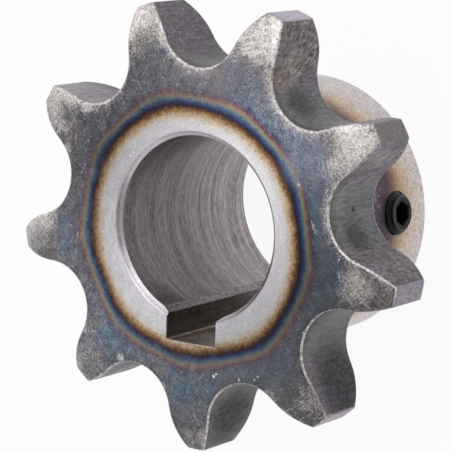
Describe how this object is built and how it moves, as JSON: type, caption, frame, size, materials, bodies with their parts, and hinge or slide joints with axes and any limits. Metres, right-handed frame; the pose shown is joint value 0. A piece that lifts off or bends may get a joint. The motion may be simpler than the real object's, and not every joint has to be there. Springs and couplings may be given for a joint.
{
  "type": "chain sprocket",
  "caption": "Steel roller chain sprocket with a hub on one side, side-relieved teeth, a bore with a keyway, and a set screw through the hub wall.",
  "frame": {"origin": "centre of the bore at the hub's end face", "axes": "+Z along the bore, from the hub's end face to the toothed plate's outer face; -X points to the keyway"},
  "size_m": [0.0606, 0.0614, 0.03],
  "materials": {
    "steel": "machined steel with dark heat oxide, a bright ring round the bore and ground tooth sides",
    "black_screw": "black oxide"
  },
  "bodies": {
    "root": {"sprocket": "steel", "set_screw": "black_screw"}
  },
  "joints": []
}
